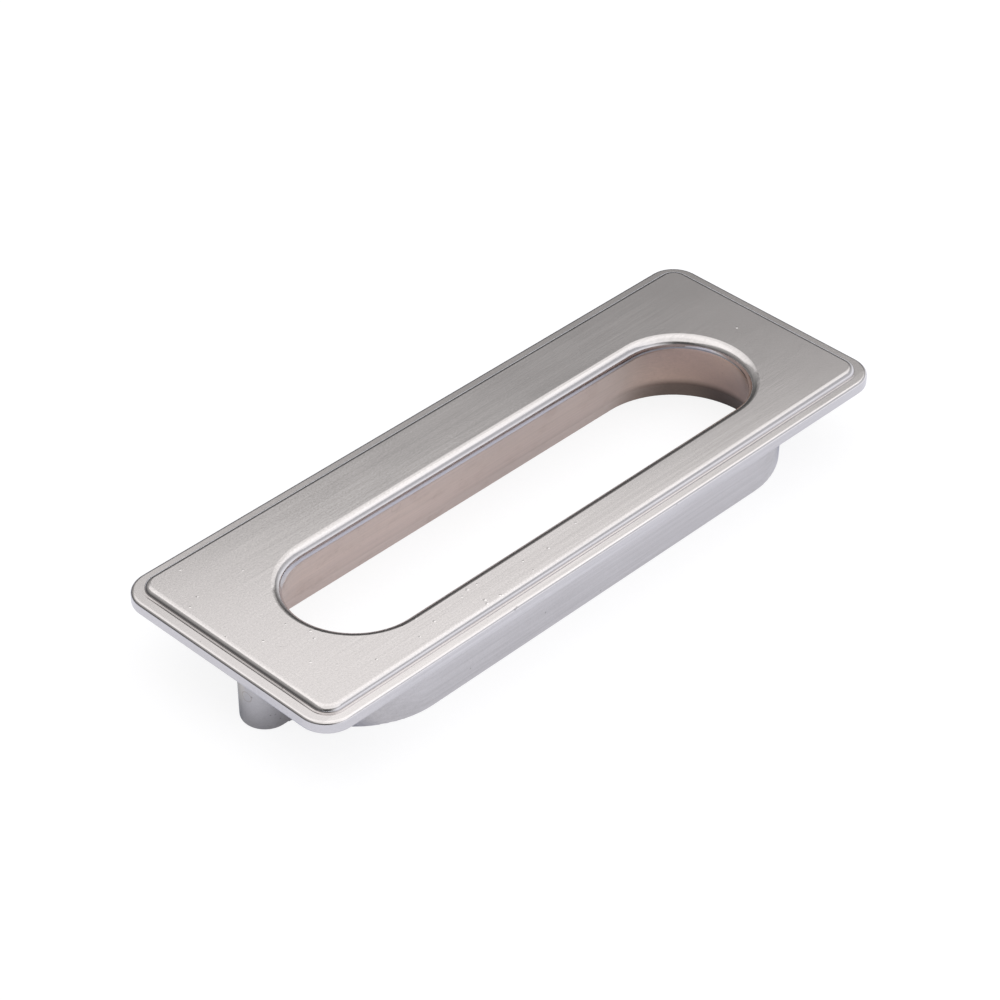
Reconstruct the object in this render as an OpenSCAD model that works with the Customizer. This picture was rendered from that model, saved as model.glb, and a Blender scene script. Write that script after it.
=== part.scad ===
// Recessed pull handle, one zinc casting with a satin brushed face.
// The skirt sits in a slot routed through the door, the plate covers the cut, and two
// screws come up from behind. X runs along the plate, the front edge is towards -Y,
// and Z = 0 is the lower rim of the skirt, which the handle rests on.

/* [Face plate] */
// Length of the face plate
plate_l = 107.8; // [80:0.2:180]
// Width of the face plate, front to back
plate_w = 39.3; // [32:0.1:60]
// Radius of the plate's corners, seen from above
plate_corner_r = 4.3; // [3:0.1:8]
// Thickness of the flange at its outer edge
flange_t = 1.9; // [1.4:0.1:3]
// Rounding along the flange's upper edge
flange_top_r = 0.5; // [0.2:0.05:0.7]
// Rounding along the flange's lower edge
flange_low_r = 0.35; // [0.1:0.05:0.5]

/* [Raised panel] */
// Width of the low ledge along the panel's long sides
ledge_w = 1.7; // [1.4:0.05:3]
// Width of the low ledge along the panel's short ends
ledge_end_w = 1.85; // [1.4:0.05:3]
// Height of the panel above the ledge
panel_rise = 0.9; // [0.7:0.05:2]
// Radius of the panel's corners, seen from above
panel_corner_r = 2.6; // [1.5:0.1:6]
// Rounding along the panel's upper edge
panel_edge_r = 0.9; // [0.3:0.05:1.2]
// Width of the fine step at the panel's foot
foot_w = 0.25; // [0.15:0.05:0.6]
// Height of the fine step at the panel's foot
foot_h = 0.1; // [0.05:0.05:0.15]

/* [Slot] */
// Width of the plate in front of the slot
front_margin = 8.3; // [6.5:0.1:11]
// Width of the plate behind the slot
back_margin = 12; // [6.5:0.1:14]
// Radius of the rolled rim round the slot
rim_r = 1.4; // [0.8:0.05:1.5]
// Height of the upright land under the rolled rim
rim_land = 0.55; // [0.1:0.05:0.8]
// Angle by which the slot's wall opens downwards, so that fingers hook under it
wall_flare = 17.5; // [8:0.5:20]
// Height of the lower band of the slot's wall
band_h = 2.7; // [2:0.1:4]
// Angle by which the lower band opens
band_flare = 23; // [10:1:30]

/* [Skirt] */
// Depth of the skirt below the plate
skirt_h = 9.7; // [7.5:0.1:12]
// Thickness of the skirt at its lower rim
skirt_rim_t = 1.2; // [0.8:0.1:1.5]
// Draft of the outer walls of the skirt and the bosses
draft = 1; // [0.5:0.1:2.5]
// Rounding along the lower outer edges of the skirt and the bosses
low_edge_r = 0.3; // [0.1:0.05:0.5]

/* [Screw bosses] */
// Distance from each end of the plate to the middle of a screw hole
hole_end_gap = 5.9; // [4.2:0.1:8]
// Distance from the middle of a screw hole to the slot's narrowest outline
hole_slot_gap = 6.7; // [5.7:0.1:12]
// Width of a boss at its lower end
boss_w = 6.8; // [5.1:0.1:7.5]
// Radius of the fillet where a boss meets the skirt
boss_fillet_r = 1.8; // [1.2:0.1:2.5]
// Diameter of the screw holes, as drilled for an M4 thread
screw_d = 3.3; // [2.5:0.1:4]
// Width of the chamfer at the mouth of a screw hole
mouth_chamfer = 0.3; // [0.1:0.05:0.5]
// Metal left between the tip of a screw hole and the panel's face
hole_cover = 2.8; // [1.5:0.1:5]

/* [Hidden] */
$fn = 96;

// Overlap that lets a cut pass clear of a face
clear = 1;
// Depth by which a fillet runs into the walls beside it, so that the faces cross
fillet_bite = 0.05;
// Half of a drill tip's point angle
tip_half_angle = 59;

// Levels
seat_z = skirt_h;
flange_z = seat_z + flange_t;
panel_z = flange_z + panel_rise;
land_top_z = panel_z - rim_r;
land_low_z = land_top_z - rim_land;
skirt_root_z = seat_z + flange_t / 2;

// Screw holes, tied to the plate's ends
hole_x = plate_l / 2 - hole_end_gap;
hole_r = screw_d / 2;
hole_tip_z = panel_z - hole_cover;

// Slot, half widths from its middle line, and where its straight part ends
slot_y = (front_margin - back_margin) / 2;
slot_half_w = (plate_w - front_margin - back_margin) / 2;
skirt_end_x = hole_x - hole_slot_gap - slot_half_w;
crease_half_w = slot_half_w + (land_low_z - band_h) * tan(wall_flare);
mouth_half_w = crease_half_w + band_h * tan(band_flare);
skirt_half_w = mouth_half_w + skirt_rim_t;

// Bosses, and the centre of the fillet between a boss and the skirt's round end
boss_half_w = boss_w / 2;
fillet_y = boss_half_w + boss_fillet_r - fillet_bite;
fillet_reach = skirt_half_w + boss_fillet_r - fillet_bite;
fillet_x = skirt_end_x + sqrt(pow(fillet_reach, 2) - pow(fillet_y, 2));

// Square corner less a round, which rounds an edge when it is cut away.
// The corner is at the origin, and the material lies towards -X and +Y below a wall
// that leans outwards by the angle lean.
module edge_cut(r, lean = 0) {
    centre_x = r * tan(lean) - r / cos(lean);
    touch = [centre_x + r * cos(lean), r - r * sin(lean)];
    difference() {
        polygon([[centre_x, -clear], [clear, -clear], [clear, touch[1]], touch, [centre_x, r]]);
        translate([centre_x, r]) circle(r);
    }
}

// Half section of the skirt or a boss: its wall leans outwards from a rounded lower edge
module drafted_section(reach) {
    difference() {
        polygon([
            [0, 0],
            [reach, 0],
            [reach + skirt_root_z * tan(draft), skirt_root_z],
            [0, skirt_root_z]
        ]);
        translate([reach, 0]) edge_cut(low_edge_r, draft);
    }
}

// Half section of a slab's edge, rounded above and, where low_r is given, below
module slab_section(reach, h, top_r, low_r = 0) {
    difference() {
        square([reach, h]);
        if (top_r > 0) translate([reach, h]) mirror([0, 1]) edge_cut(top_r);
        if (low_r > 0) translate([reach, 0]) edge_cut(low_r);
    }
}

// Rectangular slab with round corners and rounded edges
module slab(l, w, corner_r, h, top_r, low_r = 0) {
    inner_l = l - 2 * corner_r;
    inner_w = w - 2 * corner_r;
    translate([-inner_l / 2, -inner_w / 2, 0]) cube([inner_l, inner_w, h]);
    for (x_side = [0, 1], y_side = [0, 1])
        mirror([x_side, 0, 0]) mirror([0, y_side, 0])
            translate([inner_l / 2, inner_w / 2, 0])
                rotate_extrude(angle = 90) slab_section(corner_r, h, top_r, low_r);
    for (side = [0, 1]) {
        mirror([0, side, 0]) translate([-inner_l / 2, inner_w / 2, 0]) rotate([90, 0, 90])
            linear_extrude(inner_l) slab_section(corner_r, h, top_r, low_r);
        mirror([side, 0, 0]) translate([inner_l / 2, inner_w / 2, 0]) rotate([90, 0, 0])
            linear_extrude(inner_w) slab_section(corner_r, h, top_r, low_r);
    }
}

// Sweeps a half section round the slot's long round-ended outline
module slot_sweep() {
    for (side = [0, 1]) {
        mirror([side, 0, 0]) translate([skirt_end_x, 0, 0]) rotate([0, 0, -90])
            rotate_extrude(angle = 180) children();
        mirror([0, side, 0]) translate([-skirt_end_x, 0, 0]) rotate([90, 0, 90])
            linear_extrude(2 * skirt_end_x) children();
    }
}

// Plate: the flange, the fine step on its ledge, and the raised panel
module plate() {
    foot_inset_x = ledge_end_w - foot_w;
    foot_inset_y = ledge_w - foot_w;
    translate([0, 0, seat_z]) {
        slab(plate_l, plate_w, plate_corner_r, flange_t, flange_top_r, flange_low_r);
        slab(plate_l - 2 * foot_inset_x, plate_w - 2 * foot_inset_y,
            panel_corner_r + foot_w, flange_t + foot_h, 0);
        slab(plate_l - 2 * ledge_end_w, plate_w - 2 * ledge_w, panel_corner_r,
            flange_t + panel_rise, panel_edge_r);
    }
}

// Outer body of the skirt, before the slot is cut through it
module skirt() {
    slot_sweep() drafted_section(skirt_half_w);
}

// Round-nosed boss beside the skirt's right end, with its web back into the skirt
module boss() {
    translate([hole_x, 0, 0]) rotate([0, 0, -90])
        rotate_extrude(angle = 180) drafted_section(boss_half_w);
    for (side = [0, 1])
        mirror([0, side, 0]) {
            translate([skirt_end_x, 0, 0]) rotate([90, 0, 90])
                linear_extrude(hole_x - skirt_end_x) drafted_section(boss_half_w);
            boss_fillet();
        }
}

// Fillet between the boss and the skirt. It narrows upwards as the walls lean out, so it
// meets both of them all the way up.
module boss_fillet() {
    root_r = boss_fillet_r - skirt_root_z * tan(draft);
    difference() {
        linear_extrude(skirt_root_z)
            polygon([[skirt_end_x, 0], [fillet_x, 0], [fillet_x, fillet_y]]);
        translate([fillet_x, fillet_y, 0])
            cylinder(h = skirt_root_z, r1 = boss_fillet_r, r2 = root_r);
    }
}

// Half section of the slot: flared wall, lower band, upright land and rolled rim
module slot_section() {
    polygon([
        [0, -clear],
        [mouth_half_w + clear * tan(band_flare), -clear],
        [crease_half_w, band_h],
        [slot_half_w, land_low_z],
        [slot_half_w, panel_z + clear],
        [0, panel_z + clear]
    ]);
    difference() {
        translate([slot_half_w - clear, land_top_z]) square([rim_r + clear, rim_r + clear]);
        translate([slot_half_w + rim_r, land_top_z]) circle(rim_r);
    }
}

// Blind screw hole from below, with a chamfered mouth and a drill's pointed end
module screw_hole() {
    floor_z = hole_tip_z - hole_r / tan(tip_half_angle);
    rotate_extrude()
        polygon([
            [0, -clear],
            [hole_r + mouth_chamfer + clear, -clear],
            [hole_r, mouth_chamfer],
            [hole_r, floor_z],
            [0, hole_tip_z]
        ]);
}

// The whole casting
module pull_body() {
    color([0.72, 0.71, 0.70])
        difference() {
            union() {
                plate();
                translate([0, slot_y, 0]) {
                    skirt();
                    for (side = [0, 1]) mirror([side, 0, 0]) boss();
                }
            }
            translate([0, slot_y, 0]) {
                slot_sweep() slot_section();
                for (side = [-1, 1]) translate([side * hole_x, 0, 0]) screw_hole();
            }
        }
}

pull_body();
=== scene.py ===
import math

import bpy
from mathutils import Matrix, Vector

MM = 0.001

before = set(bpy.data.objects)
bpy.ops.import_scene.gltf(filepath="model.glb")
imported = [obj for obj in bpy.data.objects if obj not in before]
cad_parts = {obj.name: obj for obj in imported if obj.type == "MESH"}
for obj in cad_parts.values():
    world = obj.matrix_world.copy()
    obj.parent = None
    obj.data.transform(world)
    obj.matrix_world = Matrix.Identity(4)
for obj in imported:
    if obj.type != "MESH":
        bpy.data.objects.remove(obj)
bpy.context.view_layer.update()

# Camera, from the photograph's vanishing lines
AZIMUTH = math.radians(-46.392)
ELEVATION = math.radians(37.963)
ROLL = math.radians(0.882)
DISTANCE = 432.278 * MM
LOOK_AT = Vector((-5.3525, -2.2577, 11.4412)) * MM
LENS = 116.09
SENSOR = 36.0
CLIP_START, CLIP_END = 0.01, 20

# The part's own measures, as the CAD has them: the panel's face, its front edge and its
# left end, the plate's underside, and the slot's middle line, straight part and crease
PANEL_Z = 12.5 * MM
PANEL_FRONT_Y = -17.95 * MM
PANEL_LEFT_X = -52.05 * MM
SEAT_Z = 9.7 * MM
SLOT_Y = -1.85 * MM
SLOT_END_X = 31.8 * MM
CREASE_Z = 2.7 * MM

# Surroundings. Each level is a ramp over how far up a direction points: from, to, and the
# levels at both. The spans say how far to the right a direction points where the wall
# and the left side take over from what is behind, and where the warm tint turns cool.
RIGHT_WAY = (0.690, -0.724, 0.0)
BEHIND = (0.42, 0.58, 0.09, 0.415)
WALL = (0.08, 0.50, 1.20, 0.60)
LEFT = (0.0, 0.66, 0.14, 0.50)
WALL_SPAN = (0.1, 0.8)
LEFT_SPAN = (-0.6, -0.15)
TINT_SPAN = (0.1, 0.9)
WARM_TINT = (1.0, 0.99, 0.98, 1)
COOL_TINT = (0.96, 0.98, 1.04, 1)

# Lamps overhead, on axes turned about Z: place along and across, drop below the common
# height, width across and along, radiance and colour
LAMP_TURN = math.radians(-26.4)
LAMP_HEIGHT = 0.412
LAMPS = {
    "overhead": (-0.031, 0.010, 0.0, (0.86, 1.018), 0.71, (1, 0.99, 0.985)),
    "overhead_core": (0.078, 0.010, 0.001, (0.68, 0.28), 0.18, (1, 0.995, 0.985)),
}

# Floor: half its side, its own white, the share of that white that mirrors show and how
# far the shade under the part takes it down, and its colours for the light it gives back
FLOOR_HALF = 3.0
FLOOR_GLOW = 0.85
FLOOR_DIM = (0.22, 0.22, 0.23, 1)
GLOSSY_WHITE = 0.47
SHADE = 0.80
FLOOR_NEAR = (0.775, 0.825, 0.98, 1)
FLOOR_FAR = (0.10, 0.10, 0.11, 1)
FAR_WAY = (-0.84, 0.54)
# Where the floor's shade fades: along X's size, and along Y in front and behind. Then
# where the floor turns far, along FAR_WAY.
SHADE_SIDE_FADE = (56 * MM, 64 * MM)
SHADE_FRONT_FADE = (-15.5 * MM, -11.5 * MM)
SHADE_BACK_FADE = (1 * MM, 6 * MM)
FAR_FADE = (70 * MM, 115 * MM)

# Colours of the finish
NICKEL = (0.690, 0.662, 0.657, 1)
BROWN_HIGH = (0.650, 0.522, 0.452, 1)
BROWN_LOW = (0.644, 0.518, 0.458, 1)
# Brown of the slot's right end: partly its own browner tint, partly painted shade
BROWN_END_AND_SHADE = (0.555, 0.405, 0.334, 1)
STAIN = (0.46, 0.345, 0.285, 1)
RUST = (0.30, 0.20, 0.14, 1)
RING = (0.34, 0.26, 0.19, 1)
BOSS_TINT = (1.0, 0.985, 0.925)

# Slot: distance from its middle line within which a point is inside it, and the stretch
# of X that turns into its right end
INSIDE_FADE = (13.2 * MM, 13.5 * MM)
END_FADE = (28 * MM, 41 * MM)
# Brown of its wall: top, how much higher that lies at the right end, and how soft it is
BROWN_TOP_Z = 10.82 * MM
BROWN_RISE = 0.12 * MM
BROWN_SOFT = 0.14 * MM
# Z over which the low brown gives way to the high one, and how the brown darkens along X
BROWN_LOW_FADE = (3 * MM, 8 * MM)
BROWN_X_TONE = (-12 * MM, 10 * MM, 1.0, 0.90)
# Noise that turns into stains, and their strength
STAIN_SPAN = (0.50, 0.72, 0.0, 0.40)
RUST_SHARE = 0.35
# Painted shade along the crease, and painted shade at the foot of the right end
CREASE_LIFT, CREASE_REACH, CREASE_SHADE = 0.3 * MM, 0.55 * MM, 0.07
FOOT_FADE = (CREASE_Z - 0.3 * MM, CREASE_Z + 1.8 * MM)
FOOT_SHADE = 0.70
# Upright land under the rolled rim, with painted shade at the right end: middle, half
# height, where it has faded out, and how dark the painted shade is
LAND_Z, LAND_HALF, LAND_GONE, LAND_SHADE = 11.0 * MM, 0.08 * MM, 0.20 * MM, 0.55
# Front ledge, a little lighter as painted light, and the fine step at the panel's left end,
# with painted shade up to where the panel's corners start
LEDGE_PAINTED_LIGHT = 0.10
STEP_SHADE = 0.36
STEP_FADE_Y = (12 * MM, 15.5 * MM)
# Bosses: where they start along X's size, the painted shade up from their lower end, and
# the painted shade inwards from the outer side of the nose. NOSE_WAY is for X's size and Y,
# so that the right boss mirrors the left one.
BOSS_START = (44 * MM, 45.5 * MM)
BOSS_FOOT_SHADE = (0.0, 4.5 * MM, 0.74, 1.0)
BOSS_SIDE_SHADE = (-35.4 * MM, -34.3 * MM, 0.50, 1.0)
NOSE_WAY = (-0.690, -0.724)
# Strength of the brushed lines over X's size, and of the grain over Z and over X
LINES_FADE = (37 * MM, 46 * MM, 1.0, 0.25)
GRAIN_Z_FADE = (PANEL_Z - 0.20 * MM, PANEL_Z - 0.02 * MM, 0.35, 1.0)
GRAIN_X_FADE = (-20 * MM, 25 * MM, 1.0, 0.45)

# Noise layers of the finish: cells per metre along X, Y and Z, detail, roughness
NOISES = {
    "grain": ((3600, 3600, 3600), 3, 0.55),
    "fine": ((7000, 7000, 7000), 2, 0.5),
    "lines": ((45, 2600, 2600), 3, 0.6),
    "streaks": ((22, 700, 700), 2, 0.5),
    "clouds": ((95, 140, 140), 3, 0.5),
    "patches": ((330, 330, 330), 2, 0.5),
    "stains": ((230, 230, 330), 4, 0.65),
}
# Random specks: cell of the grid, radius, share of the cells that have one
DUST = (2.4 * MM, 0.16 * MM, 0.35)
RUST_SPECKS = (1.6 * MM, 0.22 * MM, 0.4)
# Height that each layer adds to the bump map, in metres
HEIGHTS = {
    "grain": 2.2e-6, "fine": 7.0e-7, "lines": 1.4e-6, "patches": 6.0e-7,
    "dust": 3e-6, "nubs": 12e-6, "pits_and_shade": -6e-6, "scratches": -2e-6,
}
# Change of tone from each noise layer's darkest to its lightest
NOISE_TONES = {"clouds": 0.07, "grain": 0.46, "streaks": 0.12, "lines": 0.30}
# Change of tone at the middle of each kind of mark, added or taken as a share. The
# highlight tone on each pit and nub is a painted highlight, and the pit tone is painted
# shade at pit edges.
ADDED_TONES = {"painted_highlights": 0.60, "dust": 0.10, "pits_and_shade": -0.45}
SHARED_TONES = {"specks": -0.40, "scratches": 0.08}
# Roughness: on the nickel, what the slot's wall adds, and the spread of two noise layers
ROUGH = 0.16
SLOT_ROUGH = 0.16
ROUGH_SPREADS = {"clouds": 0.06, "grain": 0.05}
# Half widths of a stain ring's line and of a scratch, the ring's strength, and the share
# of a scratch's half length over which it doesn't fade
RING_WIDTH = 0.09 * MM
RING_SHARE = 0.45
SCRATCH_WIDTH = 0.06 * MM
SCRATCH_SOLID = 0.3

# Casting pits and small raised nubs, each with its place and radius in millimetres
PITS = [
    ((-22.77, -13.29, 12.5), 0.30), ((-22.66, -16.32, 12.5), 0.27),
    ((-22.98, -17.03, 12.5), 0.24), ((-30.26, -14.75, 12.5), 0.22),
    ((-19.95, -19.61, 11.5), 0.30), ((-20.4, -19.7, 11.45), 0.25),
    ((-31.59, -12.70, 12.4), 0.28), ((-9.21, -14.80, 12.5), 0.26),
    ((-33.70, -15.59, 12.5), 0.17), ((-51.04, 1.72, 12.5), 0.16),
    ((-48.30, 10.26, 12.5), 0.2), ((-51.99, -10.03, 11.6), 0.3),
    ((-43.37, -6.40, 12.5), 0.2), ((10.82, -19.77, 11.4), 0.2),
    ((-26.09, -16.99, 11.7), 0.2), ((-53.19, 4.07, 11.5), 0.16),
    ((-40.63, -14.86, 12.5), 0.15), ((-20.35, -17.2, 12.5), 0.14),
]
NUBS = [
    ((-24.29, -13.82, 12.5), 0.17), ((-21.14, -13.39, 12.5), 0.15),
    ((-20.63, -17.07, 12.5), 0.17), ((-42.67, -5.00, 12.5), 0.2),
    ((-48.25, -2.23, 12.5), 0.18), ((-46.81, -9.40, 12.5), 0.2),
    ((-44.79, -12.15, 12.5), 0.14), ((-50.32, 9.33, 12.5), 0.16),
    ((-6.52, -17.93, 12.5), 0.17), ((-2.76, -13.69, 12.5), 0.16),
    ((12.20, -18.00, 12.5), 0.15), ((-13.51, -14.32, 12.5), 0.15),
    ((46.60, 0.79, 12.5), 0.2), ((-40.58, 10.06, 12.5), 0.15),
    ((-46.22, 15.85, 12.5), 0.18), ((-44.05, -1.81, 12.5), 0.14),
    ((-13.95, -16.60, 12.5), 0.14),
]
# Each pit gets a painted highlight spot with a painted shade edge behind it. Each is moved
# by this much along X and Y, in millimetres, and scaled, and the highlight covers the
# shade.
PAINTED_GLINT_SHIFT, PAINTED_GLINT_SCALE = (0.03, -0.08), 1.0
PIT_SHADE_SHIFT, PIT_SHADE_SCALE = (0.0, 0.08), 1.25
PAINTED_GLINT_COVER = 1.3
NUB_SCALE = 1.3
# Dark specks on the skirt and a boss
SPECKS = [
    ((-21.1, -16.27, 6.03), 0.2), ((-10.96, -16.23, 3.38), 0.24),
    ((-25.07, -16.21, 2.24), 0.2), ((-0.08, -16.18, 0.76), 0.2),
    ((-51.3, -2.99, 5.38), 0.22), ((-49.8, -4.78, 2.5), 0.2),
    ((-49.2, -5.08, 2.48), 0.18), ((-48.0, -5.3, 3.06), 0.2),
    ((-48.52, -5.23, 1.47), 0.2),
]
# Stain rings: centre, radius, and highest level that shows
RINGS = [
    ((-14.95, 7.87, 9.9), 0.80, 10.25),
    ((-51.44, -2.2, 5.1), 0.76, 11.0),
]
# Fine scratches, from end to end
SCRATCHES = [
    ((-48.51, -3.80, 12.5), (-45.98, -5.47, 12.5)),
    ((-18.13, -16.20, 1.79), (-16.86, -16.22, 3.11)),
    ((-2.9, 10.6, 12.5), (-0.2, 9.2, 12.5)),
    ((-1.2, 12.4, 12.5), (-0.9, 10.4, 12.5)),
    ((-4.1, 10.0, 12.5), (-2.3, 9.7, 12.5)),
]


def add_camera():
    a, e, r = AZIMUTH, ELEVATION, ROLL
    right = Vector((math.cos(a), math.sin(a), 0))
    back = Vector((math.sin(a) * math.cos(e), -math.cos(a) * math.cos(e), math.sin(e)))
    up = back.cross(right)
    right, up = (math.cos(r) * right + math.sin(r) * up,
                 math.cos(r) * up - math.sin(r) * right)
    data = bpy.data.cameras.new("camera")
    data.lens, data.sensor_width = LENS, SENSOR
    data.clip_start, data.clip_end = CLIP_START, CLIP_END
    cam = bpy.data.objects.new("camera", data)
    cam.matrix_world = Matrix((
        (right.x, up.x, back.x, 0),
        (right.y, up.y, back.y, 0),
        (right.z, up.z, back.z, 0),
        (0, 0, 0, 1),
    ))
    cam.location = LOOK_AT + back * DISTANCE
    bpy.context.scene.collection.objects.link(cam)
    bpy.context.scene.camera = cam


class Nodes:
    """Short calls for building a node tree."""

    def __init__(self, tree):
        self.tree = tree
        tree.nodes.clear()

    def add(self, kind, inputs=None, **props):
        node = self.tree.nodes.new(kind)
        for key, value in props.items():
            setattr(node, key, value)
        for key, value in (inputs or {}).items():
            if isinstance(value, bpy.types.NodeSocket):
                self.tree.links.new(value, node.inputs[key])
            else:
                node.inputs[key].default_value = value
        return node

    def math(self, operation, a, b=0.0, c=0.0):
        return self.add("ShaderNodeMath", {0: a, 1: b, 2: c},
                        operation=operation).outputs[0]

    def vector(self, operation, a, b, output="Vector"):
        return self.add("ShaderNodeVectorMath", {0: a, 1: b},
                        operation=operation).outputs[output]

    def product(self, first, *others):
        for other in others:
            first = self.math("MULTIPLY", first, other)
        return first

    def largest(self, values):
        total = values[0]
        for value in values[1:]:
            total = self.math("MAXIMUM", total, value)
        return total

    def split(self, vector):
        return self.add("ShaderNodeSeparateXYZ", {0: vector}).outputs

    def ramp(self, value, low, high, at_low, at_high):
        """Smooth step from at_low to at_high as the value goes from low to high."""
        return self.add("ShaderNodeMapRange", {
            "Value": value, "From Min": low, "From Max": high,
            "To Min": at_low, "To Max": at_high},
            interpolation_type="SMOOTHSTEP").outputs[0]

    def band(self, value, middle, full, gone):
        """1 up to full away from the middle, 0 from gone on."""
        away = self.math("ABSOLUTE", self.math("SUBTRACT", value, middle))
        return self.ramp(away, full, gone, 1.0, 0.0)

    def blend(self, factor, a, b):
        return self.add("ShaderNodeMix", {"Factor": factor, "A": a, "B": b},
                        data_type="FLOAT").outputs[0]

    def mix(self, factor, a, b):
        return self.add("ShaderNodeMix", {0: factor, 6: a, 7: b},
                        data_type="RGBA").outputs[2]

    def scale(self, colour, factor):
        return self.add("ShaderNodeVectorMath", {0: colour, "Scale": factor},
                        operation="SCALE").outputs[0]

    def noise(self, place, scale, detail, rough):
        return self.add("ShaderNodeTexNoise", {
            "Vector": self.vector("MULTIPLY", place, scale), "Scale": 1.0,
            "Detail": detail, "Roughness": rough}).outputs[0]

    def centred(self, value, spread):
        """Noise from 0 to 1 turned into a change of plus or minus half the spread."""
        return self.math("MULTIPLY_ADD", value, spread, -spread / 2)

    def spots(self, place, spots, shift=(0.0, 0.0), scale=1.0):
        """Small round spots, 1 at the middle and 0 outside."""
        found = []
        for (x, y, z), radius in spots:
            middle = ((x + shift[0]) * MM, (y + shift[1]) * MM, z * MM)
            away = self.vector("DISTANCE", place, middle, "Value")
            found.append(self.ramp(away, 0.0, radius * scale * MM, 1.0, 0.0))
        return self.largest(found)

    def rings(self, place):
        """Thin rings, each shown only up to a level."""
        z = self.split(place)[2]
        found = []
        for (x, y, mid), radius, highest in RINGS:
            away = self.vector("DISTANCE", place, (x * MM, y * MM, mid * MM), "Value")
            ring = self.band(away, radius * MM, 0.0, RING_WIDTH)
            found.append(self.product(ring, self.math("LESS_THAN", z, highest * MM)))
        return self.largest(found)

    def scratches(self, place):
        """Thin straight scratches that fade out at both ends."""
        found = []
        for start, end in SCRATCHES:
            start, end = Vector(start) * MM, Vector(end) * MM
            way = (end - start).normalized()
            half = (end - start).length / 2
            off = self.vector("SUBTRACT", place, (start + end) / 2)
            along = self.math("ABSOLUTE", self.vector("DOT_PRODUCT", off, way, "Value"))
            across = self.vector("LENGTH", self.vector("CROSS_PRODUCT", off, way),
                                 (0, 0, 0), "Value")
            found.append(self.product(self.ramp(across, 0.0, SCRATCH_WIDTH, 1.0, 0.0),
                                      self.ramp(along, half * SCRATCH_SOLID, half,
                                                1.0, 0.0)))
        return self.largest(found)

    def sprinkle(self, place, cell, radius, share):
        """Specks of one radius in a share of the cells of a random grid."""
        cells = self.add("ShaderNodeTexVoronoi", {
            "Vector": place, "Scale": 1.0 / cell, "Randomness": 1.0},
            voronoi_dimensions="3D", feature="F1")
        speck = self.ramp(cells.outputs["Distance"], 0.0, radius / cell, 1.0, 0.0)
        chosen = self.math("LESS_THAN", self.split(cells.outputs["Color"])[0], share)
        return self.product(speck, chosen)


def add_world():
    """Soft surroundings: dim behind, dark low on the left, a pale wall low on the right."""
    world = bpy.data.worlds.new("studio")
    bpy.context.scene.world = world
    world.use_nodes = True
    n = Nodes(world.node_tree)
    way = n.add("ShaderNodeTexCoord").outputs["Generated"]
    z = n.split(way)[2]
    right = n.vector("DOT_PRODUCT", way, RIGHT_WAY, "Value")
    level = n.blend(n.ramp(right, *WALL_SPAN, 0.0, 1.0),
                    n.ramp(z, *BEHIND), n.ramp(z, *WALL))
    level = n.blend(n.ramp(right, *LEFT_SPAN, 1.0, 0.0), level, n.ramp(z, *LEFT))
    tint = n.mix(n.ramp(right, *TINT_SPAN, 0.0, 1.0), WARM_TINT, COOL_TINT)
    sky = n.add("ShaderNodeBackground", {"Color": tint, "Strength": level})
    n.add("ShaderNodeOutputWorld", {"Surface": sky.outputs[0]})


def add_softbox(name, along, across, drop, size, radiance, colour):
    """A rectangular lamp that faces straight down."""
    data = bpy.data.lights.new(name, "AREA")
    data.shape = "RECTANGLE"
    data.size, data.size_y = size
    data.energy = radiance * math.pi * size[0] * size[1]
    data.color = colour
    lamp = bpy.data.objects.new(name, data)
    turn = Matrix.Rotation(LAMP_TURN, 3, "Z")
    lamp.location = turn @ Vector((across, along, LAMP_HEIGHT - drop))
    lamp.rotation_euler = (0, 0, LAMP_TURN)
    bpy.context.scene.collection.objects.link(lamp)


def add_floor():
    """White to the camera with the part's faint shadow, and a plain pale floor to the
    light. Mirrors see part of its white, less of it under the part and none far off on
    the left."""
    mesh = bpy.data.meshes.new("floor")
    s = FLOOR_HALF
    mesh.from_pydata([(-s, -s, 0), (s, -s, 0), (s, s, 0), (-s, s, 0)], [], [(0, 1, 2, 3)])
    floor = bpy.data.objects.new("floor", mesh)
    bpy.context.scene.collection.objects.link(floor)
    mat = bpy.data.materials.new("floor")
    mat.use_nodes = True
    n = Nodes(mat.node_tree)
    x, y, _ = n.split(n.add("ShaderNodeTexCoord").outputs["Object"])
    shade = n.product(n.ramp(n.math("ABSOLUTE", x), *SHADE_SIDE_FADE, SHADE, 0.0),
                      n.ramp(y, *SHADE_FRONT_FADE, 0.0, 1.0),
                      n.ramp(y, *SHADE_BACK_FADE, 1.0, 0.0))
    far = n.math("MULTIPLY_ADD", x, FAR_WAY[0], n.math("MULTIPLY", y, FAR_WAY[1]))
    far = n.ramp(far, *FAR_FADE, 0.0, 1.0)
    path = n.add("ShaderNodeLightPath")
    mirrored = path.outputs["Is Glossy Ray"]
    far = n.product(far, mirrored)
    glossy = n.product(mirrored, n.math("MULTIPLY_ADD", shade, -GLOSSY_WHITE, GLOSSY_WHITE),
                       n.math("SUBTRACT", 1.0, far))
    seen = n.largest([path.outputs["Is Camera Ray"], path.outputs["Is Transmission Ray"],
                      glossy])
    plain = n.add("ShaderNodeBsdfDiffuse", {"Color": n.mix(far, FLOOR_NEAR, FLOOR_FAR)})
    dim = n.add("ShaderNodeBsdfDiffuse", {"Color": FLOOR_DIM})
    glow = n.add("ShaderNodeEmission", {"Color": (1, 1, 1, 1), "Strength": FLOOR_GLOW})
    white = n.add("ShaderNodeAddShader", {0: dim.outputs[0], 1: glow.outputs[0]})
    mix = n.add("ShaderNodeMixShader", {0: seen, 1: plain.outputs[0], 2: white.outputs[0]})
    n.add("ShaderNodeOutputMaterial", {"Surface": mix.outputs[0]})
    mesh.materials.append(mat)


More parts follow.
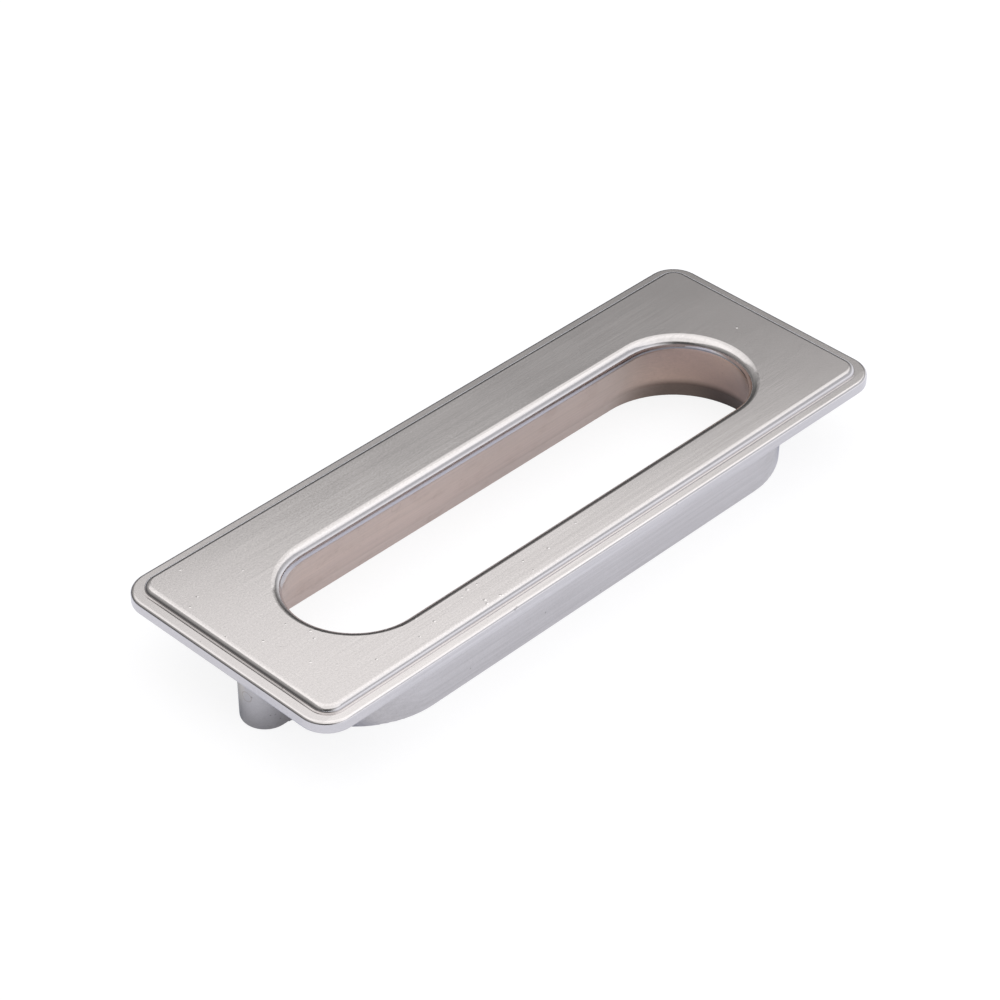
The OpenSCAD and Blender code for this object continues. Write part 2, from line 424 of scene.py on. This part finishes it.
def finish_layers(n, place):
    """Noises and marks of the finish by name, with a painted highlight on each pit and nub
    and painted shade at pit edges.
    """
    layers = {name: n.noise(place, *noise) for name, noise in NOISES.items()}
    # Painted highlight spots and painted shade edges at each casting pit
    painted_glints = n.spots(place, PITS, PAINTED_GLINT_SHIFT, PAINTED_GLINT_SCALE)
    pits_and_shade = n.spots(place, PITS, PIT_SHADE_SHIFT, PIT_SHADE_SCALE)
    nubs = n.spots(place, NUBS, scale=NUB_SCALE)
    layers["nubs"] = nubs
    # Painted highlight on each pit and nub
    layers["painted_highlights"] = n.math("MAXIMUM", painted_glints, nubs)
    layers["pits_and_shade"] = n.math("MAXIMUM", n.math("MULTIPLY_ADD", painted_glints, -PAINTED_GLINT_COVER, pits_and_shade),
                            0.0)
    layers["specks"] = n.spots(place, SPECKS)
    layers["scratches"] = n.scratches(place)
    layers["dust"] = n.sprinkle(place, *DUST)
    return layers


def bumps(n, layers, masks):
    """Normal from the height map, in metres."""
    height = 0.0
    for name, amount in HEIGHTS.items():
        layer = n.product(layers[name], *masks.get(name, ()))
        height = n.math("MULTIPLY_ADD", layer, amount, height)
    return n.add("ShaderNodeBump", {"Height": height, "Distance": 1.0,
                                    "Strength": 1.0}).outputs[0]


def tones(n, layers, masks):
    """Factor by which the noises and marks lighten or darken the colour, painted highlights
    and painted shade at each pit and nub included.
    """
    tone = 1.0
    for name, spread in NOISE_TONES.items():
        change = n.product(n.centred(layers[name], spread), *masks.get(name, ()))
        tone = n.math("ADD", tone, change)
    for name, amount in ADDED_TONES.items():
        tone = n.math("MULTIPLY_ADD", layers[name], amount, tone)
    for name, amount in SHARED_TONES.items():
        tone = n.product(tone, n.math("MULTIPLY_ADD", layers[name], amount, 1.0))
    return tone


def slot_colour_and_shade(n, place, layers, end):
    """The slot's wall: mottled brown with rusty specks, with painted shade along its crease
    and towards the foot of its right end, whose brown is partly painted shade too."""
    x, _, z = n.split(place)
    brown = n.mix(n.ramp(z, *BROWN_LOW_FADE, 1.0, 0.0), BROWN_HIGH, BROWN_LOW)
    brown = n.scale(brown, n.ramp(x, *BROWN_X_TONE))
    # Right end browner, and darker as painted shade
    brown = n.mix(end, brown, BROWN_END_AND_SHADE)
    brown = n.mix(n.ramp(layers["stains"], *STAIN_SPAN), brown, STAIN)
    rust = n.sprinkle(place, *RUST_SPECKS)
    brown = n.mix(n.math("MULTIPLY", rust, RUST_SHARE), brown, RUST)
    # Painted shade along the crease and at the foot of the right end
    crease = n.band(z, CREASE_Z + CREASE_LIFT, 0.0, CREASE_REACH)
    foot = n.product(n.ramp(z, *FOOT_FADE, 1.0, 0.0), end)
    dark = n.math("ADD", n.math("MULTIPLY", crease, CREASE_SHADE),
                  n.math("MULTIPLY", foot, FOOT_SHADE))
    return n.scale(brown, n.math("SUBTRACT", 1.0, dark))


def edge_light_and_shade(n, place, inside, end):
    """Factor for painted light on the front ledge, a little lighter, and for painted shade
    at
    two places: the land at the slot's right end and the fine step at the panel's left end."""
    x, y, z = n.split(place)
    below_panel = n.ramp(z, PANEL_Z - 0.7 * MM, PANEL_Z - 0.5 * MM, 1.0, 0.0)
    # Painted light: the front ledge a little lighter
    ledge = n.product(n.ramp(y, PANEL_FRONT_Y - 0.15 * MM, PANEL_FRONT_Y + 0.05 * MM,
                             LEDGE_PAINTED_LIGHT, 0.0),
                      below_panel,
                      n.ramp(z, PANEL_Z - 1.3 * MM, PANEL_Z - 1.0 * MM, 0.0, 1.0))
    # Painted shade on the land at the slot's right end
    land = n.product(n.band(z, LAND_Z, LAND_HALF, LAND_GONE), inside, end)
    # Painted shade on the fine step at the panel's left end
    step = n.product(
        n.ramp(x, PANEL_LEFT_X - 0.13 * MM, PANEL_LEFT_X + 0.02 * MM, 1.0, 0.0),
        n.ramp(x, PANEL_LEFT_X - 0.37 * MM, PANEL_LEFT_X - 0.25 * MM, 0.0, 1.0),
        n.ramp(n.math("ABSOLUTE", y), *STEP_FADE_Y, 1.0, 0.0), below_panel)
    return n.product(n.math("ADD", 1.0, ledge),
                     n.math("MULTIPLY_ADD", land, -LAND_SHADE, 1.0),
                     n.math("MULTIPLY_ADD", step, -STEP_SHADE, 1.0))


def boss_tint_and_shade(n, place):
    """Factor for a boss: its tint, with painted shade towards its lower end and its outer
    side.
    """
    x, y, z = n.split(place)
    reach = n.math("ABSOLUTE", x)
    boss = n.product(n.ramp(reach, *BOSS_START, 0.0, 1.0),
                     n.ramp(z, SEAT_Z - 0.05 * MM, SEAT_Z + 0.05 * MM, 1.0, 0.0))
    outer = n.math("MULTIPLY_ADD", reach, NOSE_WAY[0], n.math("MULTIPLY", y, NOSE_WAY[1]))
    # Painted shade on the boss, towards its lower end and the nose's outer side
    boss_shade = n.product(n.ramp(z, *BOSS_FOOT_SHADE), n.ramp(outer, *BOSS_SIDE_SHADE))
    return n.mix(boss, (1, 1, 1, 1), n.scale(BOSS_TINT, boss_shade))


def nickel():
    """Satin nickel: blasted grain, brushed lines along X, specks, casting pit marks, a
    browner slot, and painted highlight and painted shade on pit marks, nubs, edges, bosses
    and the slot's wall.
    """
    mat = bpy.data.materials.new("satin_nickel")
    mat.use_nodes = True
    n = Nodes(mat.node_tree)
    place = n.add("ShaderNodeTexCoord").outputs["Object"]
    x, y, z = n.split(place)
    reach = n.math("ABSOLUTE", x)
    layers = finish_layers(n, place)

    # Lines fade out towards the plate's ends. Grain is strongest on the panel's face, and
    # weaker on its right half.
    brushed = n.ramp(reach, *LINES_FADE)
    grained = n.product(n.ramp(z, *GRAIN_Z_FADE), n.ramp(x, *GRAIN_X_FADE))
    masks = {"grain": (grained,), "lines": (brushed,), "streaks": (brushed,)}

    # The slot's inner wall, which polishing doesn't reach, and its right end
    slot_x = n.math("MAXIMUM", n.math("SUBTRACT", reach, SLOT_END_X), 0.0)
    slot_y = n.math("SUBTRACT", y, SLOT_Y)
    slot_r = n.math("SQRT", n.math("MULTIPLY_ADD", slot_x, slot_x,
                                   n.math("MULTIPLY", slot_y, slot_y)))
    inside = n.ramp(slot_r, *INSIDE_FADE, 1.0, 0.0)
    end = n.ramp(x, *END_FADE, 0.0, 1.0)
    level = n.math("MULTIPLY_ADD", end, -BROWN_RISE, z)
    wall = n.product(inside, n.ramp(level, BROWN_TOP_Z - BROWN_SOFT, BROWN_TOP_Z,
                                    1.0, 0.0))

    base = n.mix(wall, NICKEL, slot_colour_and_shade(n, place, layers, end))
    base = n.scale(base, edge_light_and_shade(n, place, inside, end))
    base = n.vector("MULTIPLY", base, boss_tint_and_shade(n, place))
    base = n.mix(n.math("MULTIPLY", n.rings(place), RING_SHARE), base, RING)
    base = n.scale(base, tones(n, layers, masks))

    rough = n.math("MULTIPLY_ADD", wall, SLOT_ROUGH, ROUGH)
    for name, spread in ROUGH_SPREADS.items():
        rough = n.math("ADD", rough, n.centred(layers[name], spread))

    bsdf = n.add("ShaderNodeBsdfPrincipled", {
        "Base Color": base, "Metallic": 1.0, "Roughness": rough,
        "Normal": bumps(n, layers, masks)})
    n.add("ShaderNodeOutputMaterial", {"Surface": bsdf.outputs[0]})
    return mat


add_camera()
add_world()
for lamp_name, lamp in LAMPS.items():
    add_softbox(lamp_name, *lamp)
add_floor()

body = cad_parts["pull_body"]
body.data.materials.clear()
body.data.materials.append(nickel())

bpy.context.scene.view_settings.view_transform = "Standard"
